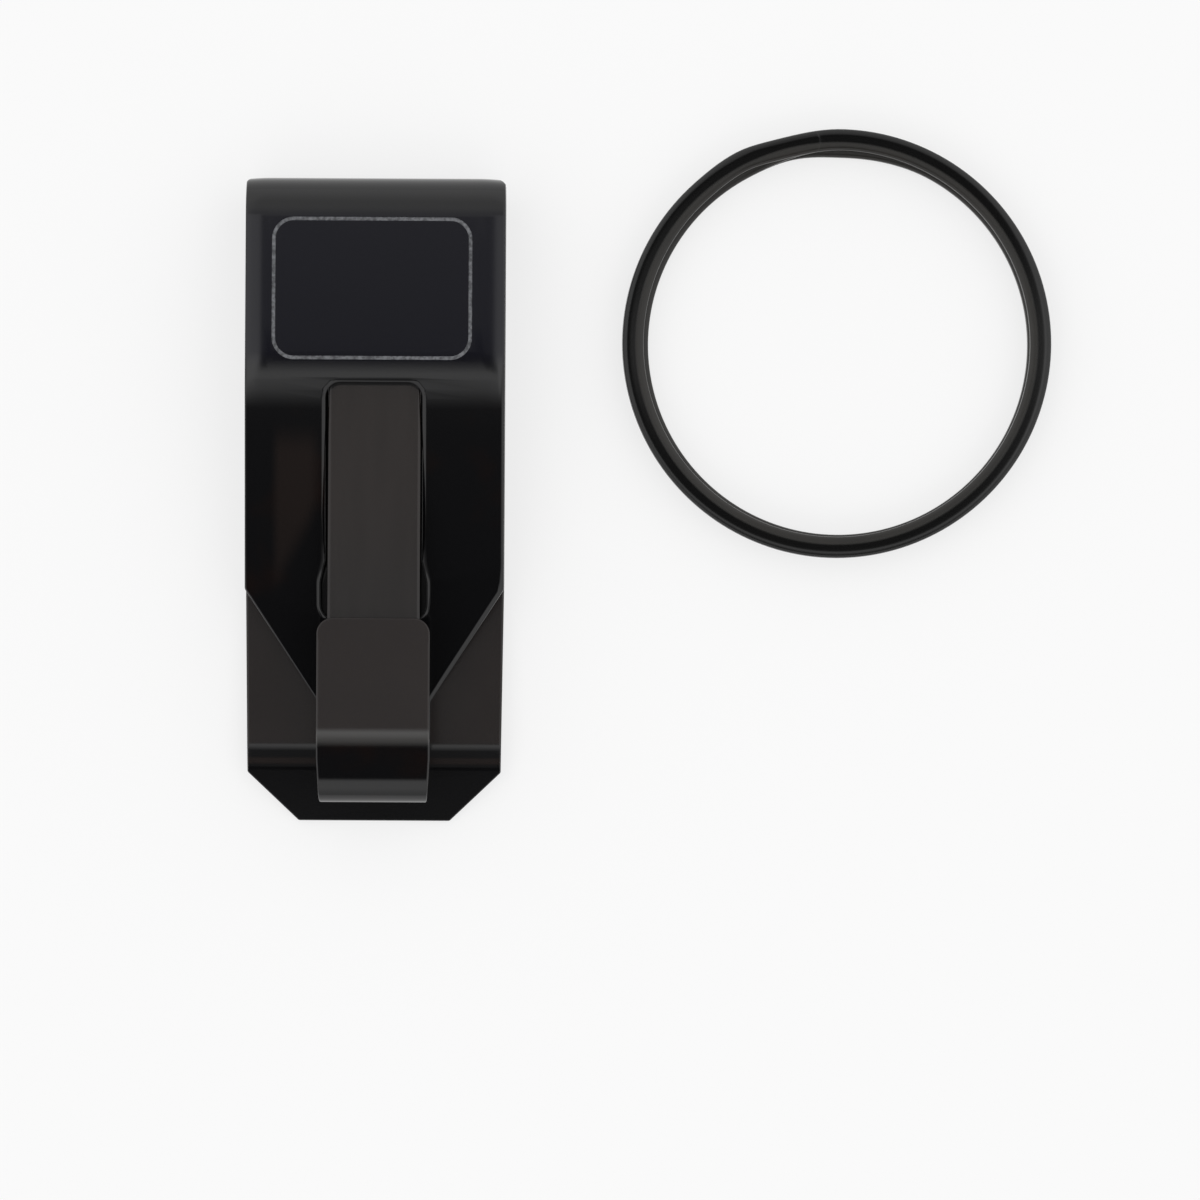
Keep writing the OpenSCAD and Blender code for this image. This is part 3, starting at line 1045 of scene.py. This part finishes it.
leaf_blank = cut_blank(
    rounded(mirrored([(leaf_half, s, LEAF_CORNER_R) for s in (0, leaf_profile.length)])),
    rows(sorted(leaf_rows)[1:-1])
    + beside([(leaf_half, leaf_corner_row), (leaf_half, leaf_last_row)], LEAF_EDGE_LINES),
    seams=[],
    steel=LEAF_STEEL,
    edge_r=LEAF_EDGE_R,
)
leaf = bend_blank("leaf_blade", leaf_blank, leaf_profile, [leaf_steel], leaf_edge)
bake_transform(leaf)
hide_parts("leaf_spring")


# Split ring
# Two turns of flattened black wire, coiled flat. A ramp carries the wire from the lower turn
# to the upper one, and both ends are ground to wedges that lie against the ramp. Places
# along the wire are in degrees round the ring.
WIRE_W = 2.35
WIRE_POWER = 5.5
WIRE_SIDES = 48
TURN_GAP = 0.05
RAMP_ANGLE = 30
RAMP_RUN = 24
END_ANGLE = 118
TURN_OFFSET = 0.36
OFFSET_SWING = 0.2
OFFSET_ANGLE = -43
START_STRAY = 0.25
START_REACH = 28
END_STRAY = 0.16
END_REACH = 14
TIP_SHORT = 1.2
WEDGE_GAP = 0.005
WEDGE_MIN = 0.004
RING_STEP = 2
END_STEPS = 4
END_ROUND = 0.3
LEAN = 0.6
TWIST = 1.6
TWIST_ANGLE = 3

ring_low, ring_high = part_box("split_ring")
ring_centre = (ring_low + ring_high) / 2 / MM
ring_r = ((ring_high.x - ring_low.x) / MM - WIRE_W) / 2
ring_h = (ring_high.z - ring_low.z) / MM
wire_h = (ring_h - TURN_GAP) / 2
turn_angle = 360 - RAMP_ANGLE
wire_angle = 2 * turn_angle + RAMP_ANGLE
start_run = RAMP_ANGLE - TIP_SHORT
end_run = RAMP_RUN - TIP_SHORT


def wire_angle_at(p):
    """The direction from the ring's centre to the wire, p degrees along it from its start."""
    return END_ANGLE - RAMP_ANGLE - p


def wire_place(p):
    """How far the wire's middle lies from the ring's centre, and how high, p degrees along."""
    height = wire_h / 2 + (ring_h - wire_h) * smooth((p - turn_angle) / RAMP_RUN)
    swing = math.cos(math.radians(wire_angle_at(p) - OFFSET_ANGLE))
    lower = 1 - smooth((p - turn_angle) / RAMP_ANGLE)
    stray = -lower * (TURN_OFFSET - OFFSET_SWING * swing)
    stray -= START_STRAY * smooth(1 - abs(p) / START_REACH)
    stray += END_STRAY * smooth(1 - abs(wire_angle - p) / END_REACH)
    past = max(-p / start_run, (p - wire_angle) / end_run)
    if past > 0:
        ramp_r, _ = wire_place(p + math.copysign(360, -p))
        return ramp_r + (ring_r + stray - ramp_r) * (1 - smooth(past)), height
    return ring_r + stray, height


def half_height(across, width):
    """Half the wire's height at a distance from its middle."""
    share = min(1.0, abs(2 * across / width))
    return wire_h / 2 * (1 - share**WIRE_POWER) ** (1 / WIRE_POWER)


def wire_hoop(p):
    """The points round the wire p degrees along it: outward and up from the ring's centre."""
    nearest = math.radians(min(p + start_run, wire_angle + end_run - p)) * ring_r
    rounding = END_ROUND - max(0.0, min(END_ROUND, nearest))
    width = WIRE_W - 2 * (END_ROUND - math.sqrt(END_ROUND**2 - rounding**2))
    middle_r, middle_z = wire_place(p)
    lean = math.radians(LEAN - TWIST * math.cos(math.radians(wire_angle_at(p) - TWIST_ANGLE)) ** 3)
    points = []
    for k in range(WIRE_SIDES):
        turn = math.tau * (k + 0.5) / WIRE_SIDES
        face = math.copysign(1, math.sin(turn))
        across = math.cos(turn) * width / 2
        up = half_height(across, width)
        past = -p if face > 0 else p - wire_angle
        if past > 0:
            ramp_r, ramp_z = wire_place(p + math.copysign(360, -p))
            ramp_up = (ramp_z - middle_z) * face - half_height(middle_r + across - ramp_r, WIRE_W)
            up = min(up, max(ramp_up - WEDGE_GAP, WEDGE_MIN - up))
        up *= face
        points.append(
            (
                middle_r + across * math.cos(lean) - up * math.sin(lean),
                max(0.0, middle_z + across * math.sin(lean) + up * math.cos(lean)),
            )
        )
    return points


end_degrees = math.degrees(END_ROUND / ring_r)
wire_run = start_run + wire_angle + end_run
end_turns = [math.pi / 2 * i / END_STEPS for i in range(END_STEPS)]
end_stations = [end_degrees * (1 - math.cos(turn)) for turn in end_turns]
middle_count = round((wire_run - 2 * end_degrees) / RING_STEP)
stations = end_stations + [
    end_degrees + (wire_run - 2 * end_degrees) * i / middle_count for i in range(middle_count + 1)
]
stations += [wire_run - p for p in reversed(end_stations)]

wire = bmesh.new()
hoops = []
for station in stations:
    out = towards(wire_angle_at(station - start_run))
    hoop = [
        (ring_centre.x + out.x * r, ring_centre.y + out.y * r, ring_low.z / MM + z)
        for r, z in wire_hoop(station - start_run)
    ]
    hoops.append([wire.verts.new(Vector(point) * MM) for point in hoop])
for near, far in zip(hoops, hoops[1:]):
    for k in range(WIRE_SIDES):
        m = (k + 1) % WIRE_SIDES
        wire.faces.new([near[k], near[m], far[m], far[k]])
wire.faces.new(hoops[0])
wire.faces.new(hoops[-1])

# Use has rubbed the wire brown on its inner side. Its outer side is a little paler, a painted
# sheen.
RING_BLACK = (0.0022, 0.0022, 0.0022, 1)
RING_SHEEN_GREY = (0.0050, 0.0050, 0.0050, 1)
RING_BROWN = (0.0120, 0.0104, 0.0080, 1)
RING_ROUGH = 0.08
RING_WORN_ROUGH = 0.3
RING_PATCH_SCALE = 160
RING_PATCH_RISE = (0.3, 0.7)
INNER_FADE = (-0.15, -0.5)
INNER_LEAST = 0.7
OUTER_FADE = (0.5, 0.8)
OUTER_WORN_SHARE = 0.8

ring_finish = Finish(bpy.data.materials.new("black_ring_wire"))
place = ring_finish.node("ShaderNodeTexCoord", {}, {}, "Object")
from_centre = ring_finish.node(
    "ShaderNodeVectorMath",
    {"operation": "LENGTH"},
    {
        0: ring_finish.node(
            "ShaderNodeVectorMath",
            {"operation": "MULTIPLY_ADD"},
            {0: place, 1: (1 / MM, 1 / MM, 0), 2: (-ring_centre.x, -ring_centre.y, 0)},
        )
    },
    "Value",
)
patches = ring_finish.noise(RING_PATCH_SCALE, detail=3).rise(*RING_PATCH_RISE)
inner = (from_centre - ring_r).rise(*INNER_FADE)
outer = (from_centre - ring_r).rise(*OUTER_FADE)
# Painted sheen: the wire's outer side is paler.
colour = ring_finish.mix(outer, RING_BLACK, RING_SHEEN_GREY)
colour = ring_finish.mix(inner * patches.lifted(INNER_LEAST), colour, RING_BROWN)
ring_steel = ring_finish.black_steel(
    colour, inner + outer * OUTER_WORN_SHARE, RING_ROUGH, RING_WORN_ROUGH
)
key_ring = finished("key_ring", wire, [ring_steel])
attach(key_ring, "ring")
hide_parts("split_ring")


# Table and tent
# A white table in a white tent. The tent has a dark opening for the lens above the set, a lamp
# on each side of it, a dark fold towards the hook and a grey strip towards the top bend, and
# shows them only in the steel. Places in the tent are in degrees from straight overhead.
TABLE_M = 4.0
TABLE_WHITE = 0.93
SHADOW_SHARE = 0.3
TENT_WHITE = 1.05
LOW_UP = (-40, -88)
LOW_DARK = 0.4
OPENING_SIDE = (7, 3.5)
OPENING_UP = (-1.8, 0.6, 3, 8)
OPENING_DARK = 0.93
FOLD_SIDE = (26, 14)
FOLD_UP = (-37, -31, -17.3, -2.5)
FOLD_DARK = 0.98
STRIP_SIDE = (16, 8)
STRIP_UP = (2, 5)
STRIP_DARK = 0.48
STRIP_PALER = 0.25
STRIP_PALER_UP = (8, 35)
STRIP_END = 0.23
STRIP_END_UP = (45, 80)
LAMP_SIDE = (4.5, 6.5, 11, 16)
LAMP_UP = (-12, -6, 8, 14)
LAMP_GLOW = 0.32

table_finish = Finish(bpy.data.materials.new("table_white"))
rays = [
    table_finish.node("ShaderNodeLightPath", {}, {}, name)
    for name in ("Is Camera Ray", "Is Glossy Ray", "Is Transmission Ray")
]
paper = table_finish.node("ShaderNodeBsdfDiffuse", {}, {"Color": (TABLE_WHITE,) * 3 + (1,)})
glow = table_finish.node("ShaderNodeEmission", {}, {"Color": (1, 1, 1, 1), "Strength": 1.0})
glow_share = (rays[0] + rays[1] + rays[2]) * (1 - SHADOW_SHARE)
table_mesh = bpy.data.meshes.new("table")
table_mesh.from_pydata(
    [(x * TABLE_M, y * TABLE_M, 0) for x, y in ((-1, -1), (1, -1), (1, 1), (-1, 1))],
    [],
    [(0, 1, 2, 3)],
)
table_mesh.materials.append(
    table_finish.end(
        "ShaderNodeOutputMaterial",
        table_finish.node("ShaderNodeMixShader", {}, {0: glow_share, 1: paper, 2: glow}),
    )
)
table = bpy.data.objects.new("table", table_mesh)
table.location.z = cad_box[0].z
bpy.context.collection.objects.link(table)

tent = Finish(bpy.data.worlds.new("white_tent"))
bpy.context.scene.world = tent.owner
x, y, z = tent.parts(tent.node("ShaderNodeTexCoord", {}, {}, "Generated"))
across = abs(x.math("ARCTAN2", x, z) * math.degrees(1))
up = y.math("ARCTAN2", y, z) * math.degrees(1)
opening = OPENING_DARK * across.rise(*OPENING_SIDE) * up.band(*OPENING_UP)
fold = FOLD_DARK * across.rise(*FOLD_SIDE) * up.band(*FOLD_UP)
strip = STRIP_DARK - STRIP_PALER * up.rise(*STRIP_PALER_UP) - STRIP_END * up.rise(*STRIP_END_UP)
strip = strip * across.rise(*STRIP_SIDE) * up.rise(*STRIP_UP)
cloth = TENT_WHITE - LOW_DARK * up.rise(*LOW_UP)
lamps = LAMP_GLOW * across.band(*LAMP_SIDE) * up.band(*LAMP_UP)
brightness = cloth * (1 - opening) * (1 - fold) * (1 - strip) + lamps
direct = tent.node("ShaderNodeLightPath", {}, {}, "Is Camera Ray")
tent.end(
    "ShaderNodeOutputWorld",
    tent.node(
        "ShaderNodeBackground",
        {},
        {"Color": (1, 1, 1, 1), "Strength": direct + (1 - direct) * brightness},
    ),
)
